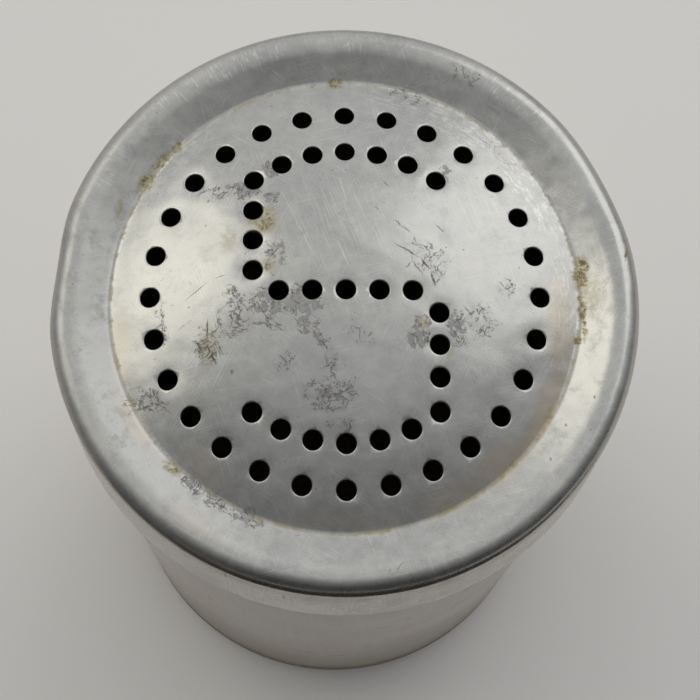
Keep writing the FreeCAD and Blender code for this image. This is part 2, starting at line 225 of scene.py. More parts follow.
def can_outline(can):
    """Half section of the can's outside, from the middle of its floor to its mouth."""
    foot_outer = can.radius - can.corner
    foot_inner = foot_outer - can.foot_width
    recess_r = foot_inner - can.recess_run
    slope = math.atan2(can.recess_depth, can.recess_run)
    bend = can.recess_bend
    trim = bend * math.tan(slope / 2)
    points = [(0, can.recess_depth)]
    points += straight(points[-1], (recess_r - trim, can.recess_depth), 24)
    points += arc((recess_r - trim, can.recess_depth - bend), bend, QUARTER, QUARTER - slope, 5)
    points += arc((foot_inner + trim, bend), bend, -QUARTER - slope, -QUARTER, 5)
    points += straight(points[-1], (foot_outer, 0), 5)
    points += arc((foot_outer, can.corner), can.corner, -QUARTER, 0, 14)
    points += straight(points[-1], (can.radius, can.height), 90)
    return points


def hole_places(ring, lid):
    """Centres of all the holes: the ring, then the letter, whose lower half is its upper one turned."""
    places = []
    for number in range(lid.ring_holes):
        angle = TURN / 4 + TURN * number / lid.ring_holes
        places.append((ring * math.cos(angle), ring * math.sin(angle)))
    upper = []
    for number in range(BOW_HOLES):
        angle = math.radians(90 + BOW_STEP_DEG * (number - (BOW_HOLES - 1) / 2))
        upper.append((BOW_RADIUS_SHARE * math.cos(angle), BOW_RADIUS_SHARE * math.sin(angle)))
    for number in range(COLUMN_HOLES):
        upper.append((-COLUMN_OFFSET_SHARE, COLUMN_FIRST_SHARE + COLUMN_STEP_SHARE * number))
    for number in range(BAR_HOLES // 2):
        upper.append((-BAR_STEP_SHARE * (number + 1), 0))
    letter = upper + [(-x, -y) for x, y in upper] + [(0, 0)]
    return places + [(ring * x, ring * y) for x, y in letter]


def select_only(*pieces):
    """Leaves just these pieces selected, the first one active."""
    if bpy.context.object and bpy.context.object.mode != "OBJECT":
        bpy.ops.object.mode_set(mode="OBJECT")
    bpy.ops.object.select_all(action="DESELECT")
    for piece in pieces:
        piece.select_set(True)
    bpy.context.view_layer.objects.active = pieces[0]


def pick(piece, test):
    """Enters edit mode with just the vertices selected whose place passes the test."""
    select_only(piece)
    bpy.ops.object.mode_set(mode="EDIT")
    bpy.ops.mesh.select_mode(type="VERT")
    bpy.ops.mesh.select_all(action="DESELECT")
    bpy.ops.object.mode_set(mode="OBJECT")
    for vertex in piece.data.vertices:
        vertex.select = test(vertex)
    bpy.ops.object.mode_set(mode="EDIT")


def turned(name, outline, steps):
    """A surface of revolution about +Z: a point drawn along its outline and spun a full turn."""
    first = outline[0]
    bpy.ops.object.select_all(action="DESELECT")
    bpy.ops.mesh.primitive_plane_add(size=MM, location=(0, 0, 0))
    piece = bpy.context.object
    piece.name = name
    piece.data.name = name
    bpy.ops.object.mode_set(mode="EDIT")
    bpy.ops.mesh.select_all(action="SELECT")
    bpy.ops.mesh.merge(type="CENTER")
    bpy.ops.transform.translate(value=(first[0], 0, first[1]))
    for here, there in zip(outline, outline[1:]):
        step = (there[0] - here[0], 0, there[1] - here[1])
        bpy.ops.mesh.extrude_region_move(TRANSFORM_OT_translate={"value": step})
    bpy.ops.mesh.select_all(action="SELECT")
    bpy.ops.mesh.spin(steps=steps, angle=TURN, center=(0, 0, 0), axis=(0, 0, 1))
    bpy.ops.mesh.select_all(action="SELECT")
    bpy.ops.mesh.remove_doubles(threshold=MERGE_DISTANCE)
    bpy.ops.mesh.normals_make_consistent(inside=False)
    bpy.ops.object.mode_set(mode="OBJECT")
    return piece


def finish_modifier(piece, kind, **settings):
    """Adds a modifier, sets it up and applies it."""
    select_only(piece)
    modifier = piece.modifiers.new(kind.lower(), kind)
    for name, value in settings.items():
        setattr(modifier, name, value)
    bpy.ops.object.modifier_apply(modifier=modifier.name)


def thicken(piece, wall):
    """Gives the surface its sheet's thickness inwards; the inside takes the second material."""
    finish_modifier(piece, "SOLIDIFY", thickness=wall, offset=-1, use_even_offset=True,
                    material_offset=1)


def round_trim(piece, width):
    """Rounds the trimmed edge of the sheet."""
    finish_modifier(piece, "BEVEL", width=width, segments=TRIM_SEGMENTS, limit_method="ANGLE",
                    angle_limit=TRIM_ANGLE)


def push(piece, test, move, reach):
    """Moves the picked vertices and, less and less, what lies round them within the reach."""
    pick(piece, test)
    bpy.ops.transform.translate(value=move, use_proportional_edit=True,
                                proportional_edit_falloff="SMOOTH", proportional_size=reach)
    bpy.ops.object.mode_set(mode="OBJECT")


def nearest(piece, places):
    """Numbers of the vertices nearest to some places."""
    tree = KDTree(len(piece.data.vertices))
    for vertex in piece.data.vertices:
        tree.insert(vertex.co, vertex.index)
    tree.balance()
    return {tree.find(place)[1] for place in places}


def polish(piece, crease_deg):
    """Smooth shading that keeps the sharp edges and leans on the large faces."""
    select_only(piece)
    bpy.ops.object.shade_smooth_by_angle(angle=math.radians(crease_deg))
    finish_modifier(piece, "WEIGHTED_NORMAL", mode="FACE_AREA", keep_sharp=True)


# Knocks in the wall: azimuth in degrees, height, depth and reach
KNOCKS = (
    (174, 108.6 * MM, 0.55 * MM, 9.0 * MM),
    (26, 108.4 * MM, 0.28 * MM, 11.0 * MM),
    (286, 40.0 * MM, 0.25 * MM, 13.0 * MM),
    (131, 62.0 * MM, 0.22 * MM, 10.0 * MM),
)


def wear_out_of_round(piece, low_z):
    """The dents of use, which lid and can share because they were knocked together."""
    for azimuth_deg, height, depth, reach in KNOCKS:
        if height < low_z:
            continue
        angle = math.radians(azimuth_deg)
        out = Vector((math.cos(angle), math.sin(angle), 0))
        spot = out * lid_high.x + Vector((0, 0, height))
        number = nearest(piece, [spot])
        push(piece, lambda vertex: vertex.index in number, -depth * out, reach)


class SHAKER_OT_can(bpy.types.Operator):
    """Model the drawn can"""

    bl_idname = "shaker.can"
    bl_label = "Can"

    def execute(self, context):
        can = context.scene.shaker_can
        piece = turned("can_sheet", can_outline(can), CAN_SIDES)
        wear_out_of_round(piece, 0)
        thicken(piece, can.wall)
        round_trim(piece, can.mouth_round)
        polish(piece, 35)
        look = context.scene.shaker_finish
        piece.data.materials.append(can_finish("can_worn_metal", look))
        piece.data.materials.append(inside_finish("can_inside", look))
        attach(piece, "can")
        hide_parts("shaker_can")
        return {"FINISHED"}


# Slope at which a hole's lip meets the sheet, and what is left of a dimple's depth there
LIP_SLOPE = math.radians(20)
DIMPLE_AT_LIP_SHARE = 0.35


def hole_cutter(lid):
    """The shape that leaves a punched hole with a rolled-in lip, its lip level with z = 0."""
    lip, reach = lid.lip_radius, lid.hole_radius + lid.lip_radius
    mouth = (reach - lip * math.sin(LIP_SLOPE), -lip + lip * math.cos(LIP_SLOPE))
    flare = 4 * lip
    bottom = -2 * lid.wall - lip
    outline = [(0, bottom), (lid.hole_radius, bottom), (lid.hole_radius, -lip)]
    outline += arc((reach, -lip), lip, TURN / 2, QUARTER + LIP_SLOPE, 5)
    outline.append((mouth[0] + flare * math.cos(LIP_SLOPE), mouth[1] + flare * math.sin(LIP_SLOPE)))
    outline.append((0, outline[-1][1]))
    return turned("hole_cutter", outline, HOLE_SIDES)


def punched(piece, lid, dome):
    """Cuts all the holes upright through the dome, each lip lying along its slope."""
    cutter = hole_cutter(lid)
    copies = []
    for x, y in hole_places(dome.hole_ring, lid):
        copy = cutter.copy()
        copy.data = cutter.data.copy()
        bpy.context.collection.objects.link(copy)
        z = dome.height(x, y)
        fall = z - dome.centre[1]
        place = Matrix.Translation((x, y, z - lid.dimple_depth * DIMPLE_AT_LIP_SHARE))
        place[2][0], place[2][1] = -x / fall, -y / fall
        copy.data.transform(place)
        copies.append(copy)
    select_only(*copies)
    bpy.ops.object.join()
    finish_modifier(piece, "BOOLEAN", object=copies[0], operation="DIFFERENCE", solver="EXACT")
    bpy.data.objects.remove(copies[0])
    bpy.data.objects.remove(cutter)


class SHAKER_OT_lid(bpy.types.Operator):
    """Model the perforated lid"""

    bl_idname = "shaker.lid"
    bl_label = "Lid"

    def execute(self, context):
        can, lid = context.scene.shaker_can, context.scene.shaker_lid
        dome = Dome(lid, can)
        piece = turned("lid_sheet", dome.outline(lid), LID_SIDES_PER_HOLE * lid.ring_holes)
        wear_out_of_round(piece, lid.skirt_edge_z)
        spots = [(x, y, dome.height(x, y)) for x, y in hole_places(dome.hole_ring, lid)]
        chosen = nearest(piece, spots)
        push(piece, lambda vertex: vertex.index in chosen, (0, 0, -lid.dimple_depth), lid.dimple_radius)
        thicken(piece, lid.wall)
        round_trim(piece, lid.edge_round)
        punched(piece, lid, dome)
        polish(piece, 30)
        look = context.scene.shaker_finish
        piece.data.materials.append(lid_finish("lid_worn_metal", look))
        piece.data.materials.append(inside_finish("lid_inside", look))
        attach(piece, "lid")
        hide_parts("perforated_lid")
        return {"FINISHED"}


class Coat:
    """One procedural finish, built node by node. Places are in millimetres."""

    def __init__(self, name):
        self.material = bpy.data.materials.new(name)
        self.material.use_nodes = True
        self.nodes = self.material.node_tree.nodes
        self.links = self.material.node_tree.links
        self.shader = self.nodes["Principled BSDF"]
        where = self.nodes.new("ShaderNodeTexCoord").outputs["Object"]
        self.place = self.vector("SCALE", where, scale=1 / MM)
        self.x, self.y, self.z = self.node("SeparateXYZ", {"Vector": self.place}).outputs
        self.flat = self.node("CombineXYZ", {"X": self.x, "Y": self.y}).outputs[0]
        self.radius = self.vector("LENGTH", self.flat)
        self.around = self.vector("SCALE", self.vector("NORMALIZE", self.flat), scale=lid_high.x / MM)

    def node(self, kind, inputs, **settings):
        """Adds a node; an input is a value or the socket that feeds it."""
        node = self.nodes.new("ShaderNode" + kind)
        for name, value in settings.items():
            setattr(node, name, value)
        for key, value in inputs.items():
            socket = node.inputs[key]
            if isinstance(value, bpy.types.NodeSocket):
                self.links.new(value, socket)
            elif socket.type == "RGBA":
                socket.default_value = (*value, 1)
            else:
                socket.default_value = value
        return node

    def vector(self, operation, first, second=None, scale=None):
        """One step of vector arithmetic."""
        inputs = {0: first}
        if second is not None:
            inputs[1] = second
        if scale is not None:
            inputs["Scale"] = scale
        node = self.node("VectorMath", inputs, operation=operation)
        return node.outputs["Value" if operation in ("LENGTH", "DOT_PRODUCT") else "Vector"]

    def math(self, operation, first, second=0.0):
        """One step of arithmetic."""
        return self.node("Math", {0: first, 1: second}, operation=operation).outputs[0]

    def step(self, value, low, high, bottom=0.0, top=1.0):
        """Runs smoothly from bottom to top while the value goes from low to high."""
        return self.node("MapRange", {"Value": value, "From Min": low, "From Max": high, "To Min": bottom,
                                      "To Max": top}, interpolation_type="SMOOTHSTEP").outputs["Result"]

    def band(self, value, low, high, soft):
        """One between low and high, and zero outside."""
        rising = self.step(value, low - soft, low + soft)
        return self.math("MULTIPLY", rising, self.step(value, high - soft, high + soft, 1.0, 0.0))

    def both(self, *masks):
        """The product of masks."""
        result = masks[0]
        for mask in masks[1:]:
            result = self.math("MULTIPLY", result, mask)
        return result

    def total(self, *values):
        """The sum of values."""
        result = values[0]
        for value in values[1:]:
            result = self.math("ADD", result, value)
        return result

    def weigh(self, *parts):
        """The weighted sum of pairs of value and weight."""
        return self.total(*(self.math("MULTIPLY", value, weight) for value, weight in parts))

    def mix(self, mask, under, over):
        """The colour under, covered by the colour over where the mask is one."""
        node = self.node("MixRGB", {"Fac": mask, "Color1": under, "Color2": over})
        return node.outputs["Color"]

    def jitter(self, size, detail):
        """Noise from -0.5 to 0.5 each way in the plan."""
        node = self.node("TexNoise", {"Vector": self.flat, "Scale": 1 / size, "Detail": detail,
                                      "Roughness": 0.65})
        return self.vector("SUBTRACT", node.outputs["Color"], (0.5, 0.5, 0.5))

    def ragged(self, jitter, reach):
        """The plan moved about by jitter, so that what is drawn on it gets ragged edges."""
        return self.vector("ADD", self.flat, self.vector("MULTIPLY", jitter, (reach, reach, 0)))

    def noise(self, place, size, detail=3.0, rough=0.55, wander=0.0):
        """Cloudy noise whose blotches are about this many millimetres across."""
        return self.node("TexNoise", {"Vector": place, "Scale": 1 / size, "Detail": detail,
                                      "Roughness": rough, "Distortion": wander}).outputs["Fac"]

    def grain(self, place, turn_deg, along, across, detail=2.0):
        """Noise drawn out along one direction of the plan, turned from +X."""
        laid = self.node("Mapping", {"Vector": place, "Rotation": (0, 0, math.radians(turn_deg)),
                                     "Scale": (along, across, across)}, vector_type="TEXTURE")
        return self.noise(laid.outputs["Vector"], 1.0, detail, 0.5)

    def patches(self, place, spots):
        """The strongest of some soft oval spots: x, y, half length, half width, turn, strength."""
        result = 0.0
        for x, y, along, across, turn_deg, strength in spots:
            away = self.vector("SUBTRACT", place, (x, y, 0))
            turn = math.radians(turn_deg)
            aside = self.vector("PROJECT", away, (-math.sin(turn), math.cos(turn), 0))
            wider = along / across - 1
            oval = self.node("VectorMath", {0: aside, 1: (wider, wider, 0), 2: away},
                             operation="MULTIPLY_ADD")
            reach = self.vector("LENGTH", oval.outputs["Vector"])
            spot = self.step(reach, 0.35 * along, along, strength, 0.0)
            result = self.math("MAXIMUM", result, spot)
        return result

    def strew(self, place, spacing, size, share):
        """Small specks, in this share of the cells of a loose grid."""
        node = self.node("TexVoronoi", {"Vector": place, "Scale": 1 / spacing})
        chance = self.node("SeparateColor", {"Color": node.outputs["Color"]}).outputs[0]
        size_here = self.math("MULTIPLY", chance, size / spacing / share)
        dot = self.math("LESS_THAN", node.outputs["Distance"], size_here)
        return self.both(dot, self.math("LESS_THAN", chance, share))

    def finish(self, colour, roughness, height, metallic=1.0):
        """Feeds the shader; the height is in millimetres."""
        bump = self.node("Bump", {"Strength": 1.0, "Distance": MM, "Height": height})
        for name, value in (("Base Color", colour), ("Roughness", roughness), ("Metallic", metallic),
                            ("Normal", bump.outputs["Normal"])):
            if isinstance(value, bpy.types.NodeSocket):
                self.links.new(value, self.shader.inputs[name])
            else:
                self.shader.inputs[name].default_value = value
        return self.material


# Places on the lid that its finish follows, in millimetres: radii first, then heights
FLANGE_STARTS = (27.7, 28.7)
LATHE_STARTS = (27.4, 28.4)
SHOULDER_STARTS = (33.2, 34.2)
CREASE = (27.62, 28.02)
CREST = (31.4, 33.8)
TOP_STARTS = (107.6, 109.2)
SKIRT_ENDS = (103.5, 107.0)
SHOULDER = (107.0, 109.3)
HEM = (94.0, 95.0)


def lid_finish(name, look):
    """Worn aluminium with scratches, etched stains and old grime."""
    coat = Coat(name)
    place, flat, radius = coat.place, coat.flat, coat.radius
    clouds = coat.noise(place, 9, 4, 0.6, 0.4)
    mottle = coat.noise(place, 1.5, 5, 0.65)
    grit = coat.noise(place, 0.22, 1)
    coarse, fine = coat.jitter(1.5, 3.0), coat.jitter(0.7, 2.0)
    across = coat.math("MULTIPLY", coat.math("SUBTRACT", radius, coat.z), 3.2)
    along = coat.vector("ADD", coat.vector("SCALE", coat.around, scale=0.06),
                        coat.node("CombineXYZ", {"Z": across}).outputs[0])
    lathe = coat.noise(along, 1, 2, 0.5)
    flange = coat.both(coat.step(coat.z, *TOP_STARTS), coat.step(radius, *FLANGE_STARTS))
    dull = coat.both(flange, coat.step(coat.x, -6, -24))
    skirt = coat.step(coat.z, *SKIRT_ENDS, 1.0, 0.0)
    shoulder = coat.both(coat.band(coat.z, *SHOULDER, 0.5), coat.step(radius, *SHOULDER_STARTS))

    # Scratches, nicks and flecks that show lighter, and short dark ticks
    hairs = 0.0
    for turn_deg in (14, -31, 63, -72):
        lines = coat.step(coat.grain(flat, turn_deg, 6, 0.16), 0.58, 0.70)
        ends = coat.step(coat.grain(flat, turn_deg + 90, 7, 5, 1.0), 0.42, 0.62)
        hairs = coat.math("MAXIMUM", hairs, coat.both(lines, ends))
    rubbed = coat.patches(flat, RUBBED)
    strokes = coat.both(coat.step(coat.grain(flat, -69, 7, 0.2), 0.52, 0.66), rubbed)
    chips = coat.noise(coat.vector("ADD", coat.around, coat.vector("SCALE", flat, scale=0.2)), 0.36, 2)
    nicks = coat.both(coat.step(chips, 0.55, 0.64), coat.band(radius, *CREST, 0.5),
                      coat.step(mottle, 0.4, 0.55), coat.patches(flat, NICKED))
    drawn = coat.both(coat.patches(coat.ragged(fine, 0.2), BRIGHT), coat.step(mottle, 0.3, 0.5))
    light = coat.math("MAXIMUM", drawn, nicks)
    inwards = coat.node("CombineXYZ", {"Z": coat.math("MULTIPLY", radius, 4.0)}).outputs[0]
    streaks = coat.vector("ADD", coat.vector("SCALE", coat.around, scale=0.7), inwards)
    flecks = coat.both(coat.step(coat.noise(streaks, 1, 2, 0.6), 0.50, 0.60),
                       coat.patches(flat, FLECKED), coat.step(mottle, 0.35, 0.55))
    ticks = 0.0
    for turn_deg in (37, -56):
        lines = coat.step(coat.grain(flat, turn_deg, 1.6, 0.13, 1.0), 0.63, 0.73)
        ticks = coat.math("MAXIMUM", ticks, lines)
    ticks = coat.both(ticks, coat.step(coat.noise(flat, 2.6, 2), 0.46, 0.62))

    # Stains with their cracks, grime, tarnish and specks, and a hem that is partly grime and partly
    # painted shade
    stained = coat.patches(coat.ragged(coarse, 2.4), ETCHED)
    cells = coat.noise(flat, 0.85, 4, 0.7, 0.5)
    level = coat.math("ADD", cells, coat.math("MULTIPLY", coat.math("SUBTRACT", stained, 1.0), 0.26))
    fill = coat.step(level, 0.45, 0.49)
    cracks = coat.noise(flat, 2.8, 4, 0.64, 0.7)
    veins = coat.both(coat.band(cracks, 0.489, 0.511, 0.008), coat.step(stained, 0.06, 0.34))
    smudge = coat.both(coat.step(stained, 0.05, 0.6), coat.step(cells, 0.40, 0.58))
    rim = coat.math("MAXIMUM", coat.band(level, 0.442, 0.470, 0.01), veins)
    dark = coat.both(coat.patches(coat.ragged(fine, 0.5), DARK), coat.step(mottle, 0.32, 0.46))
    film = coat.patches(coat.ragged(coarse, 1.8), GRIME)
    grime = coat.both(film, coat.step(coat.noise(place, 0.6, 4, 0.75), 0.32, 0.62))
    caked = coat.both(coat.step(grime, 0.35, 0.85), coat.step(cells, 0.40, 0.56))
    warm = coat.both(coat.patches(flat, WARM), coat.step(clouds, 0.2, 0.7, 0.6, 1.0))
    crease = coat.both(coat.band(coat.vector("LENGTH", coat.ragged(fine, 0.9)), *CREASE, 0.15),
                       coat.step(coat.noise(coat.around, 2.2, 4, 0.7), 0.46, 0.60))
    # A dark band along the skirt's lower edge: partly grime, partly painted shade of the gap where the
    # skirt stands off the can
    hem = coat.both(coat.band(coat.z, *HEM, 0.2),
                    coat.step(coat.noise(place, 2.5, 3, 0.6), 0.35, 0.6))
    specks = coat.math("MAXIMUM", coat.strew(place, 1.7, 0.15, 0.12),
                       coat.strew(place, 0.9, 0.11, 0.13))
    specks = coat.both(specks, coat.step(clouds, 0.35, 0.6, 0.4, 1.0))
    blotches = coat.both(coat.step(coat.noise(place, 3.2, 6, 0.75, 0.2), 0.50, 0.66),
                         coat.math("ADD", 0.45, coat.math("MULTIPLY", flange, 0.55)))

    colour = coat.mix(coat.step(clouds, 0.3, 0.7), look.lid_dull, look.lid_metal)
    for mask, share, tint in (
            (coat.step(mottle, 0.3, 0.7, 1.0, 0.0), 0.24, look.stain),
            (blotches, 0.30, look.stain),
            (skirt, 0.75, look.skirt_metal),
            (shoulder, 0.60, look.tarnish),
            (coat.total(hairs, strokes), 0.26, look.scratch),
            (ticks, 0.50, look.stain),
            (warm, 0.55, look.tarnish),
            (smudge, 0.36, look.stain),
            (coat.both(fill, coat.step(mottle, 0.3, 0.7, 0.5, 1.0)), 0.80, look.stain),
            (rim, 0.70, look.pit_dirt_and_shade),
            (crease, 0.45, look.grime),
            (film, 0.30, look.grime),
            (grime, 0.60, look.grime),
            (caked, 0.75, look.caked_grime),
            (hem, 0.60, look.pit_dirt_and_shade),
            (dark, 0.85, look.pit_dirt_and_shade),
            (specks, 0.65, look.pit_dirt_and_shade),
            (flecks, 0.50, look.scratch),
            (light, 0.60, look.scratch)):
        colour = coat.mix(coat.math("MULTIPLY", mask, share), colour, tint)

    # The hem in this mask is partly painted shade, the rest is dirt
    dirt = coat.weigh((grime, 0.65), (crease, 0.4), (hem, 0.4), (dark, 0.4), (rim, 0.3))
    dirt = coat.math("MINIMUM", dirt, 1.0)
    roughness = coat.weigh((coat.step(clouds, 0.3, 0.7, 0.23, 0.31), 1.0), (flange, -0.01), (dull, 0.15),
                           (fill, 0.16), (blotches, 0.08), (hairs, 0.06), (dirt, 0.35), (mottle, 0.14))
    height = coat.weigh((coat.noise(place, 8, 2), 0.22), (mottle, 0.010), (grit, 0.0012),
                        (coat.both(lathe, coat.step(radius, *LATHE_STARTS)), 0.0035))
    return coat.finish(colour, coat.math("SUBTRACT", roughness, 0.07), height,
                       coat.math("SUBTRACT", 1.0, dirt))


def can_finish(name, look):
    """Drawn aluminium with draw lines, soft tints and painted shade that darkens it towards its foot."""
    coat = Coat(name)
    place = coat.place
    clouds = coat.noise(place, 14, 4, 0.6, 0.5)
    tints = coat.noise(coat.vector("ADD", place, (37.0, 11.0, 5.0)), 16, 2)
    mottle = coat.noise(place, 2.0, 5, 0.65)
    upright = coat.node("CombineXYZ", {"Z": coat.math("MULTIPLY", coat.z, 0.03)}).outputs[0]
    drawn = coat.noise(coat.vector("ADD", coat.around, upright), 0.5, 3, 0.6)
    level = coat.node("CombineXYZ", {"Z": coat.math("MULTIPLY", coat.z, 2.4)}).outputs[0]
    rings = coat.vector("ADD", coat.vector("SCALE", coat.around, scale=0.05), level)
    rings = coat.noise(rings, 1, 3, 0.6)
    scuffs = coat.both(coat.step(rings, 0.58, 0.70), coat.step(coat.noise(place, 7, 3), 0.45, 0.65))
    # Painted shade: the wall turns darker, rougher and less metallic towards the foot, standing in for
    # the contact shadow that it reflects
    low = coat.math("ADD", coat.z, coat.math("MULTIPLY", coat.math("SUBTRACT", mottle, 0.5), 9.0))
    foot = coat.math("MAXIMUM", coat.step(low, 2.0, 18.0, 1.0, 0.0),
                     coat.step(low, 4.0, 56.0, 0.5, 0.0))
    specks = coat.strew(place, 2.6, 0.16, 0.09)
    blots = coat.step(coat.noise(place, 5, 6, 0.68, 0.4), 0.60, 0.64)
    blots = coat.both(blots, coat.step(mottle, 0.3, 0.7, 0.3, 0.8))

    colour = coat.mix(coat.step(clouds, 0.3, 0.7), look.can_dull, look.can_metal)
    for mask, share, tint in (
            (coat.step(tints, 0.35, 0.7), 0.4, look.tarnish),
            (blots, 0.4, look.stain),
            (scuffs, 0.2, look.scratch),
            (foot, 0.90, look.foot_painted_shade),
            (specks, 0.6, look.pit_dirt_and_shade)):
        colour = coat.mix(coat.math("MULTIPLY", mask, share), colour, tint)

    roughness = coat.weigh((coat.step(clouds, 0.3, 0.7, 0.24, 0.34), 1.0), (drawn, 0.12), (scuffs, 0.08),
                           (foot, 0.2), (blots, 0.1))
    height = coat.weigh((coat.noise(place, 11, 2), 0.16), (drawn, 0.004), (rings, 0.003), (mottle, 0.006),
                        (specks, -0.006))
    # Less metallic towards the foot, part of the painted shade there
    metallic = coat.math("SUBTRACT", 1.0, coat.math("MULTIPLY", foot, 0.5))
    return coat.finish(colour, roughness, height, metallic)


def inside_finish(name, look):
    """The dull, oxidised inside of the sheet."""
    coat = Coat(name)
    clouds = coat.noise(coat.place, 6, 5, 0.65, 0.4)
    mottle = coat.noise(coat.place, 1.2, 4, 0.65)
    bloom = coat.step(coat.noise(coat.place, 2.4, 6, 0.7), 0.56, 0.64)
    colour = coat.mix(coat.step(clouds, 0.3, 0.7), look.inside, look.stain)
    colour = coat.mix(coat.math("MULTIPLY", bloom, 0.25), colour, look.scratch)
    roughness = coat.weigh((coat.step(mottle, 0.3, 0.7, 0.5, 0.62), 1.0), (bloom, 0.12))
    height = coat.weigh((mottle, 0.012), (bloom, 0.004))
    return coat.finish(colour, roughness, height)


# Where the dome is rubbed bright, where its edge is flecked and where the crest is nicked:
# x, y, half length, half width, turn, strength
RUBBED = (
    (-1, 8.5, 8, 8, 0, 1.0),
    (-16, 1.5, 5, 4, 0, 0.5),
    (16, 12, 7, 5, -50, 0.6),
)
FLECKED = (
    (22.6, 13.4, 9.0, 3.2, 120, 1.0),
    (14.6, 21.8, 8.0, 3.2, 146, 1.0),
    (6.5, 26.0, 7.0, 2.4, 166, 0.8),
    (26.0, 1.0, 8.0, 2.4, 92, 0.7),
    (-20.0, 18.5, 8.0, 2.4, 47, 0.6),
)
NICKED = (
    (-16, 29, 13, 9, 30, 1.0),
    (20, 27, 9, 7, -40, 0.9),
    (2, 33, 6, 4, 0, 0.8),
    (-30, 15, 6, 6, 0, 0.5),
)

# Grey etched stains on the lid: x, y, half length, half width, turn, strength
ETCHED = (
    (-11.7, 12.9, 2.3, 1.5, 0, 1.25),
    (-8.8, 15.5, 1.9, 1.3, 40, 1.15),
    (-8.8, 11.8, 1.2, 0.8, 0, 0.9),
    (-13.5, 13.4, 1.3, 0.5, 5, 0.75),
    (-5.3, -1.2, 3.6, 2.3, -10, 1.1),
    (-9, -1.5, 3.6, 2.5, 0, 0.9),
    (-12.9, -1, 1.3, 2.5, 15, 0.8),
    (-9, -4.1, 2.5, 0.8, -15, 0.7),
    (-4.6, -3.9, 1.8, 2.1, 0, 0.95),
    (-3, -5.8, 2.3, 0.9, -50, 0.8),
    (-8.7, 4.8, 1.1, 1.7, 10, 0.75),
    (-16.1, -6.2, 2.4, 3.0, 0, 0.62),
    (-7.2, -8.4, 1.6, 1.9, 0, 0.6),
    (-1.8, -12.3, 4.2, 2.6, 0, 0.6),
    (-1.8, -8.9, 1.3, 3.2, 0, 0.6),
    (8.2, -5.7, 2.1, 1.6, -10, 1.15),
    (8.9, -3.7, 1.3, 1.4, 0, 0.8),
    (13.1, -4.3, 1.6, 2.9, 0, 0.9),
    (11.9, 15.4, 1, 1.3, -40, 0.8),
    (-5.1, 22.8, 1.3, 1.2, 0, 0.8),
    (19.1, 1, 1.6, 1.6, 0, 0.35),
    (-22.8, -13.1, 2.9, 0.8, 8, 0.7),
    (-21.7, -2.8, 1.1, 4, 10, 0.55),
    (-17.9, -22.1, 2.2, 1.2, -42, 0.95),
    (-15.1, -24.0, 2.4, 1.1, -38, 0.95),
    (-11.4, -26.0, 2.8, 1.2, -22, 1),
    (-0.7, -15.6, 2.6, 1.1, 0, 0.4),
    (9.5, 4.4, 4.2, 2.6, -45, 0.36),
    (-8.2, 4.2, 1.6, 3.2, -20, 0.5),
    (-15.5, 12.6, 3.4, 1.2, 8, 0.4),
    (-13.2, -3.4, 3.2, 3.0, 0, 0.42),
    (1.5, -5.0, 4.0, 1.6, -35, 0.24),
    (16.0, -3.4, 2.2, 3.2, 0, 0.4),
    (19.0, 18.5, 1.4, 4.0, 45, 0.3),
    (-23.8, -12.2, 3.2, 2.2, 8, 0.4),
    (8.2, 26.2, 4.0, 1.4, -15, 0.4),
    (14.8, 28.5, 3.2, 1.6, -25, 0.35),
)

# Dark scratches and specks on the lid: x, y, half length, half width, turn, strength
DARK = (
    (7.1, 5, 2.21, 0.12, -32, 0.8),
    (9.3, 3.3, 1.1, 0.16, -49, 0.9),
    (10.2, 1.5, 1.3, 0.2, -76, 0.9),
    (8.4, 2.8, 1.46, 0.11, -54, 0.7),
    (7.3, 3.1, 0.71, 0.11, 39, 0.6),
    (6.7, 8, 1.67, 0.12, -37, 0.7),
    (11.1, 7.9, 1.02, 0.11, -44, 0.6),
    (4.8, 13.5, 0.71, 0.14, -48, 0.55),
    (3.7, 10.3, 0.5, 0.17, -36, 0.5),
    (-17.5, 0.3, 2.26, 0.08, 39, 0.55),
    (-14.9, 1.9, 1.29, 0.08, 19, 0.5),
    (-18.7, -3.6, 1.22, 0.09, 34, 0.6),
    (-13.1, -0.2, 0.99, 0.13, -69, 0.7),
    (-12.4, -1.8, 1.07, 0.13, -67, 0.7),
    (-8.7, 5.4, 0.91, 0.13, -42, 0.6),
    (-8.7, 4.2, 0.98, 0.11, 52, 0.5),
    (-13.5, 13.4, 0.91, 0.11, 11, 0.6),
    (-3.2, -5.7, 2.2, 0.11, -51, 0.6),
    (-16.1, -4.3, 1.4, 0.17, 88, 0.9),
    (-15.6, -7.3, 2.0, 0.18, -65, 0.9),
    (-17.0, -6.3, 1.1, 0.15, -60, 0.8),
    (-15.2, -4.6, 0.9, 0.13, 45, 0.6),
    (-13.2, -9.5, 0.33, 0.28, -90, 0.9),
    (14.2, -2.2, 0.81, 0.13, -55, 0.6),
    (19.1, 0.8, 0.58, 0.11, 42, 0.7),
    (29, -12, 0.22, 0.17, -77, 0.6),
    (25.7, -15.2, 0.22, 0.16, -77, 0.6),
    (23.6, -19.3, 0.25, 0.2, -62, 0.6),
    (28.3, -16, 0.15, 0.16, -69, 0.6),
    (-23.5, -13, 1.93, 0.15, 11, 0.5),
    (-20.8, -13.4, 1.45, 0.11, -37, 0.5),
    (6, -31.8, 0.86, 0.13, 51, 0.5),
)

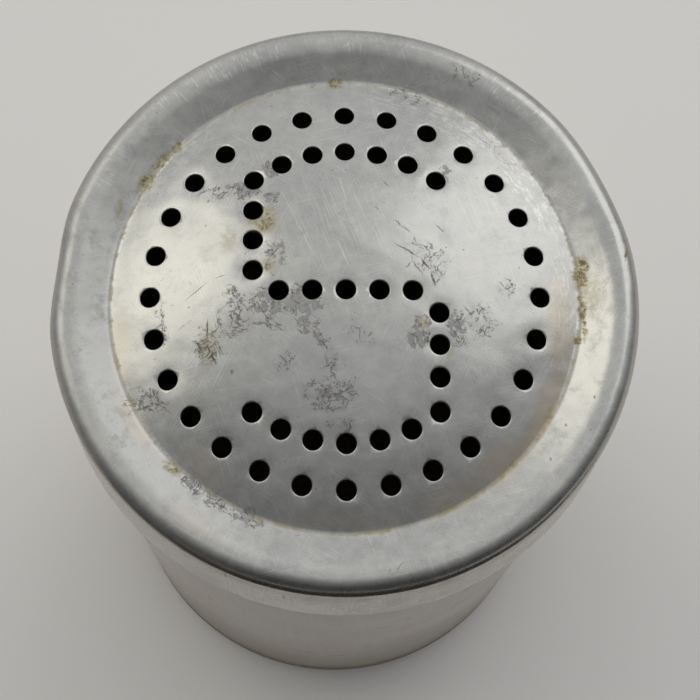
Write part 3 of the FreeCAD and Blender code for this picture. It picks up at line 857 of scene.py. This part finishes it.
# Long light scratches on the lid: x, y, half length, half width, turn, strength
BRIGHT = (
    (-6.8, 10.9, 2.62, 0.1, -65, 0.55),
    (-4.8, 6.6, 2.82, 0.1, -66, 0.8),
    (-2, 8.2, 2.48, 0.09, -73, 0.5),
    (-0.5, 4.8, 2.45, 0.1, -66, 0.7),
    (-0.3, 12.8, 3.66, 0.09, -75, 0.7),
    (1.1, 8, 2.03, 0.1, -71, 0.6),
    (-4.7, 13.2, 2.3, 0.08, -71, 0.4),
    (-2.5, 11.6, 2.79, 0.07, -73, 0.4),
    (-5.9, 8.9, 2.14, 0.07, -71, 0.45),
    (3.4, 10.7, 2.28, 0.07, -82, 0.35),
    (0, 3.7, 1.51, 0.08, -58, 0.45),
    (-3.9, 4.8, 1.79, 0.07, -63, 0.4),
    (-8.3, 28.9, 1.35, 0.1, -34, 0.7),
    (-2.4, 29.8, 0.92, 0.09, -52, 0.5),
    (0.1, 32.4, 0.46, 0.09, -62, 0.7),
    (8.4, 32.1, 0.52, 0.09, -48, 0.6),
)

# Olive and yellow grime on the lid: x, y, half length, half width, turn, strength
GRIME = (
    (-9.7, 8.9, 2.4, 2.5, 0, 0.95),
    (-16.0, -6.4, 1.5, 2.9, 0, 0.32),
    (8.9, -3.7, 1, 1.2, 0, 0.55),
    (-9.2, 3.0, 1.5, 1.3, 0, 0.5),
    (28.1, 3.4, 1.3, 2.9, -8, 1.2),
    (28.2, -1.7, 0.6, 4.0, 0, 0.95),
    (27.4, -4.7, 0.7, 0.7, 0, 0.9),
    (29.2, 0.6, 2.2, 3.6, 0, 0.28),
    (-1, 27.9, 1.4, 1, 0, 0.9),
    (-3.9, 27.7, 0.7, 0.4, 0, 0.8),
    (-24.0, 14.8, 2.0, 1.1, 58, 1.1),
    (-22.2, 17.5, 2.2, 0.9, 50, 0.9),
    (-20.3, 19.4, 1.5, 0.7, 45, 0.8),
    (-26.9, 11.9, 0.7, 1.6, -20, 0.5),
    (33.6, 5.4, 0.3, 1.3, -12, 0.9),
    (-20.0, -20.1, 1.7, 1.1, -45, 0.8),
    (-7.6, -26.6, 4.6, 0.5, -16, 0.5),
    (3.8, -27.4, 5.0, 0.5, 8, 0.5),
    (12.3, -24.8, 4.2, 0.5, 26, 0.5),
    (-13.6, 6.5, 1.5, 2.2, 0, 0.3),
    (11.8, -7, 1, 1.3, 0, 0.35),
    (4.8, -32.3, 0.3, 0.3, 0, 0.6),
    (19.4, -19.7, 3.6, 0.6, 45, 0.6),
    (24.0, -13.6, 3.8, 0.5, 60, 0.45),
)

# Warm tarnish on the lid: x, y, half length, half width, turn, strength
WARM = (
    (23.7, -12.1, 1.7, 5.6, -28, 0.9),
    (24.5, -11.5, 0.8, 4.7, -28, 1),
    (18.0, -19.6, 2.8, 5.2, -45, 0.9),
    (22.3, -15.6, 1.3, 5.4, -35, 1.3),
    (12.6, -23.6, 6.0, 2.2, 24, 0.7),
    (-0.8, -26.3, 6.5, 1.3, 0, 0.4),
    (-26.5, -6, 1.5, 6.7, 5, 0.5),
    (-24.6, -14.8, 6.5, 1.7, -60, 0.6),
    (-16.2, -20.2, 4.6, 2.4, -45, 0.6),
    (-17.5, -26.6, 4.0, 1.8, -35, 0.4),
    (25.2, -3.5, 2.4, 8.0, 0, 0.9),
)


# The table and the black card. The card is seen only in reflections: a dark sheet that stands in for the
# shade on the viewer's side and paints a dark reflection into the metal. The table lies just below the
# foot, so that the two don't coincide
TABLE_WIDTH = 8.0
TABLE_DROP = 0.02 * MM
CARD_LIFT = 1 * MM
CARD_BLACK = (0.04, 0.038, 0.034)

# Soft lamps: name, place, width and height, roll in degrees, power, colour
LAMPS = (
    ("left_window", (-0.672, 0.366, 0.939), (0.76, 0.52), -20, 1.50, (1.0, 0.965, 0.80)),
    ("back_window", (0.601, 0.558, 0.874), (0.70, 0.88), 0, 1.62, (1.0, 0.99, 0.95)),
)

# Brightness of the room by how far a direction leans up and away from the viewer, from -1 to 1
ROOM_LEAN = (0, 0.8, 0.6)
ROOM_STOPS = ((-1.0, 0.06), (-0.3, 0.08), (0.1, 0.24), (0.25, 0.30), (0.43, 0.48), (0.6, 0.66),
              (1.0, 0.80))


class SHAKER_OT_stage(bpy.types.Operator):
    """Set the floor, the lamps and the camera"""

    bl_idname = "shaker.stage"
    bl_label = "Stage"

    def execute(self, context):
        stage = context.scene.shaker_stage
        bpy.ops.object.select_all(action="DESELECT")
        bpy.ops.mesh.primitive_plane_add(size=TABLE_WIDTH, location=(0, 0, 0))
        floor = context.object
        floor.data.transform(Matrix.Translation((0, 0, -TABLE_DROP)))
        floor.name = "table"
        floor.data.materials.append(matt("table_top", stage.floor_colour))

        for name, place, size, roll_deg, watts, colour in LAMPS:
            bpy.ops.object.light_add(type="AREA", location=place)
            lamp = context.object
            lamp.name = name
            lamp.data.shape = "RECTANGLE"
            lamp.data.size, lamp.data.size_y = size
            lamp.data.energy = watts
            lamp.data.color = colour
            roll = Quaternion((0, 0, 1), math.radians(roll_deg))
            lamp.rotation_euler = (Vector(place).to_track_quat("Z", "Y") @ roll).to_euler()

        context.scene.world = soft_room()

        bpy.ops.object.select_all(action="DESELECT")
        bpy.ops.mesh.primitive_plane_add(size=1.0, location=(0, 0, 0))
        card = context.object
        card.name = "black_card"
        near, far = stage.card_near, stage.card_far
        right = far / 3
        card.data.transform(Matrix.Translation(((right - far) / 2, -(near + far) / 2, CARD_LIFT))
                            @ Matrix.Diagonal((right + far, far - near, 1, 1)))
        # Only reflections see the card, so it gives the metal a painted dark reflection of the shade on
        # the viewer's side
        card.visible_camera = card.visible_diffuse = card.visible_shadow = False
        card.data.materials.append(matt("card_black", CARD_BLACK))

        bpy.ops.object.camera_add(location=stage.eye, rotation=stage.turn)
        camera = context.object
        camera.name = "camera"
        camera.data.lens = stage.lens
        camera.data.sensor_width = 36
        camera.data.clip_start = 0.005
        context.scene.camera = camera
        context.scene.view_settings.view_transform = "Standard"
        return {"FINISHED"}


def soft_room():
    """A plain grey room, brighter overhead and behind than on the viewer's side."""
    room = bpy.data.worlds.new("room")
    room.use_nodes = True
    nodes, links = room.node_tree.nodes, room.node_tree.links
    where = nodes.new("ShaderNodeTexCoord")
    lean = nodes.new("ShaderNodeVectorMath")
    lean.operation = "DOT_PRODUCT"
    lean.inputs[1].default_value = ROOM_LEAN
    links.new(where.outputs["Generated"], lean.inputs[0])
    spread = nodes.new("ShaderNodeMapRange")
    spread.inputs["From Min"].default_value = -1
    links.new(lean.outputs["Value"], spread.inputs["Value"])
    ramp = nodes.new("ShaderNodeValToRGB")
    stops = ramp.color_ramp.elements
    while len(stops) < len(ROOM_STOPS):
        stops.new(0.5)
    for stop, (place, grey) in zip(stops, ROOM_STOPS):
        stop.position = (place + 1) / 2
        stop.color = (grey, grey, grey, 1)
    links.new(spread.outputs["Result"], ramp.inputs["Fac"])
    links.new(ramp.outputs["Color"], nodes["Background"].inputs["Color"])
    return room


def matt(name, colour):
    """A plain matt paint for the studio."""
    paint = bpy.data.materials.new(name)
    paint.use_nodes = True
    shader = paint.node_tree.nodes["Principled BSDF"]
    shader.inputs["Base Color"].default_value = (*colour, 1)
    shader.inputs["Roughness"].default_value = 0.85
    return paint


class SHAKER_PT_panel(bpy.types.Panel):
    """Lists the pieces and their sizes"""

    bl_idname = "SHAKER_PT_panel"
    bl_label = "Perforated Shaker"
    bl_space_type = "VIEW_3D"
    bl_region_type = "UI"
    bl_category = "Shaker"

    def draw(self, context):
        layout = self.layout
        for kind in ("can", "lid", "stage"):
            group = getattr(context.scene, "shaker_" + kind)
            box = layout.box()
            for name in group.__annotations__:
                box.prop(group, name)
            box.operator("shaker." + kind)
        box = layout.box()
        for name in context.scene.shaker_finish.__annotations__:
            box.prop(context.scene.shaker_finish, name)


GROUPS = {
    "shaker_can": ShakerCanSizes,
    "shaker_lid": ShakerLidSizes,
    "shaker_finish": ShakerFinish,
    "shaker_stage": ShakerStageSettings,
}
CLASSES = (SHAKER_OT_can, SHAKER_OT_lid, SHAKER_OT_stage, SHAKER_PT_panel)


def register():
    for name, group in GROUPS.items():
        bpy.utils.register_class(group)
        setattr(bpy.types.Scene, name, PointerProperty(type=group))
    for item in CLASSES:
        bpy.utils.register_class(item)


def unregister():
    for item in reversed(CLASSES):
        bpy.utils.unregister_class(item)
    for name, group in reversed(GROUPS.items()):
        delattr(bpy.types.Scene, name)
        bpy.utils.unregister_class(group)


def main():
    register()
    bpy.ops.shaker.stage()
    bpy.ops.shaker.can()
    bpy.ops.shaker.lid()


if __name__ == "__main__":
    main()
